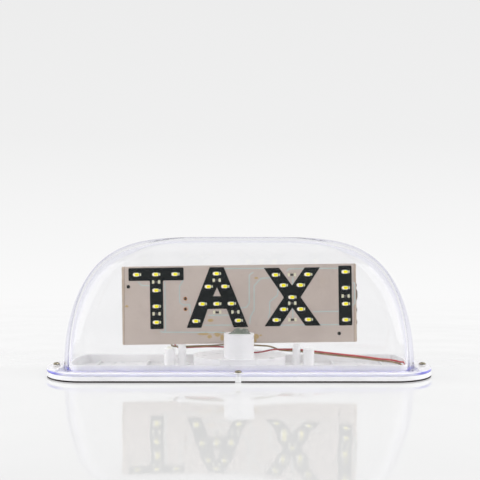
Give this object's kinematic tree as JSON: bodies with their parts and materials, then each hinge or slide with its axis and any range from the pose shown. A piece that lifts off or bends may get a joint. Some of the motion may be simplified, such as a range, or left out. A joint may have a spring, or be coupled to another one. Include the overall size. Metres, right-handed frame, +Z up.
{
  "type": "taxi roof light",
  "caption": "Magnetic taxi roof light: white tray with a magnet foot, upright LED sign board and a clear screwed-down dome cover.",
  "frame": {"origin": "centre of the footprint, on the car roof that the magnet pad and edge strip rest on", "axes": "+X along the sign to the right as its front is read, -Y out of the front of the sign, +Z up"},
  "size_m": [0.37, 0.1214, 0.1325],
  "materials": {
    "white_abs": "satin moulded ABS",
    "black_rubber": "matte",
    "white_nylon": "natural nylon",
    "ferrite": "matte sintered",
    "zinc_steel": "zinc plated",
    "board_laminate": "satin lacquered laminate",
    "board_print": "satin black lacquer",
    "led_body": "satin",
    "led_window": "glossy silicone",
    "resistor_body": "satin",
    "solder": "bright solder",
    "red_insulation": "satin PVC",
    "olive_insulation": "satin PVC",
    "hot_glue": "cloudy, glossy",
    "white_glue": "glossy",
    "clear_plastic": "clear polished, blue-violet edges",
    "screw_steel": "bronze zinc plating"
  },
  "bodies": {
    "base": {"base_tray": "white_abs", "edge_strip": "black_rubber", "magnet_pad": "black_rubber", "ring_magnet": "ferrite", "magnet_pot": "zinc_steel", "magnet_screw": "zinc_steel", "magnet_washer": "zinc_steel", "magnet_nut": "zinc_steel", "lead_grommet": "black_rubber", "circuit_board": "board_laminate", "front_leds": "led_body", "front_led_windows": "led_window", "front_resistors": "resistor_body", "rear_leds": "led_body", "rear_led_windows": "led_window", "rear_resistors": "resistor_body", "solder_joints": "solder", "positive_lead": "red_insulation", "negative_lead": "olive_insulation", "column_glue": "hot_glue", "post_glue": "white_glue"},
    "cover": {"clear_cover": "clear_plastic"},
    "left_washer": {"left_washer": "white_nylon"},
    "left_screw": {"left_screw": "screw_steel"},
    "right_washer": {"right_washer": "white_nylon"},
    "right_screw": {"right_screw": "screw_steel"},
    "front_washer": {"front_washer": "white_nylon"},
    "front_screw": {"front_screw": "screw_steel"},
    "rear_washer": {"rear_washer": "white_nylon"},
    "rear_screw": {"rear_screw": "screw_steel"}
  },
  "joints": [
    {"name": "cover_lift", "type": "slide", "parent": "base", "child": "cover", "axis": [0, 0, 1], "range_m": [0, 0.15]},
    {"name": "left_screw_turn", "type": "hinge", "parent": "cover", "child": "left_washer", "pos_m": [-0.1776, 0, 0.0085], "axis": [0, 0, 1], "range_deg": [0, 2520]},
    {"name": "left_screw_rise", "type": "slide", "parent": "left_washer", "child": "left_screw", "axis": [0, 0, 1], "range_m": [0, 0.0077]},
    {"name": "right_screw_turn", "type": "hinge", "parent": "cover", "child": "right_washer", "pos_m": [0.1776, 0, 0.0085], "axis": [0, 0, 1], "range_deg": [0, 2520]},
    {"name": "right_screw_rise", "type": "slide", "parent": "right_washer", "child": "right_screw", "axis": [0, 0, 1], "range_m": [0, 0.0077]},
    {"name": "front_screw_turn", "type": "hinge", "parent": "cover", "child": "front_washer", "pos_m": [0, -0.0565, 0.0085], "axis": [0, 0, 1], "range_deg": [0, 2520]},
    {"name": "front_screw_rise", "type": "slide", "parent": "front_washer", "child": "front_screw", "axis": [0, 0, 1], "range_m": [0, 0.0077]},
    {"name": "rear_screw_turn", "type": "hinge", "parent": "cover", "child": "rear_washer", "pos_m": [0, 0.0565, 0.0085], "axis": [0, 0, 1], "range_deg": [0, 2520]},
    {"name": "rear_screw_rise", "type": "slide", "parent": "rear_washer", "child": "rear_screw", "axis": [0, 0, 1], "range_m": [0, 0.0077]}
  ],
  "couplings": [
    {"joint": "left_screw_turn", "follows": "left_screw_rise", "rad_per_m": 5712},
    {"joint": "right_screw_turn", "follows": "right_screw_rise", "rad_per_m": 5712},
    {"joint": "front_screw_turn", "follows": "front_screw_rise", "rad_per_m": 5712},
    {"joint": "rear_screw_turn", "follows": "rear_screw_rise", "rad_per_m": 5712}
  ]
}
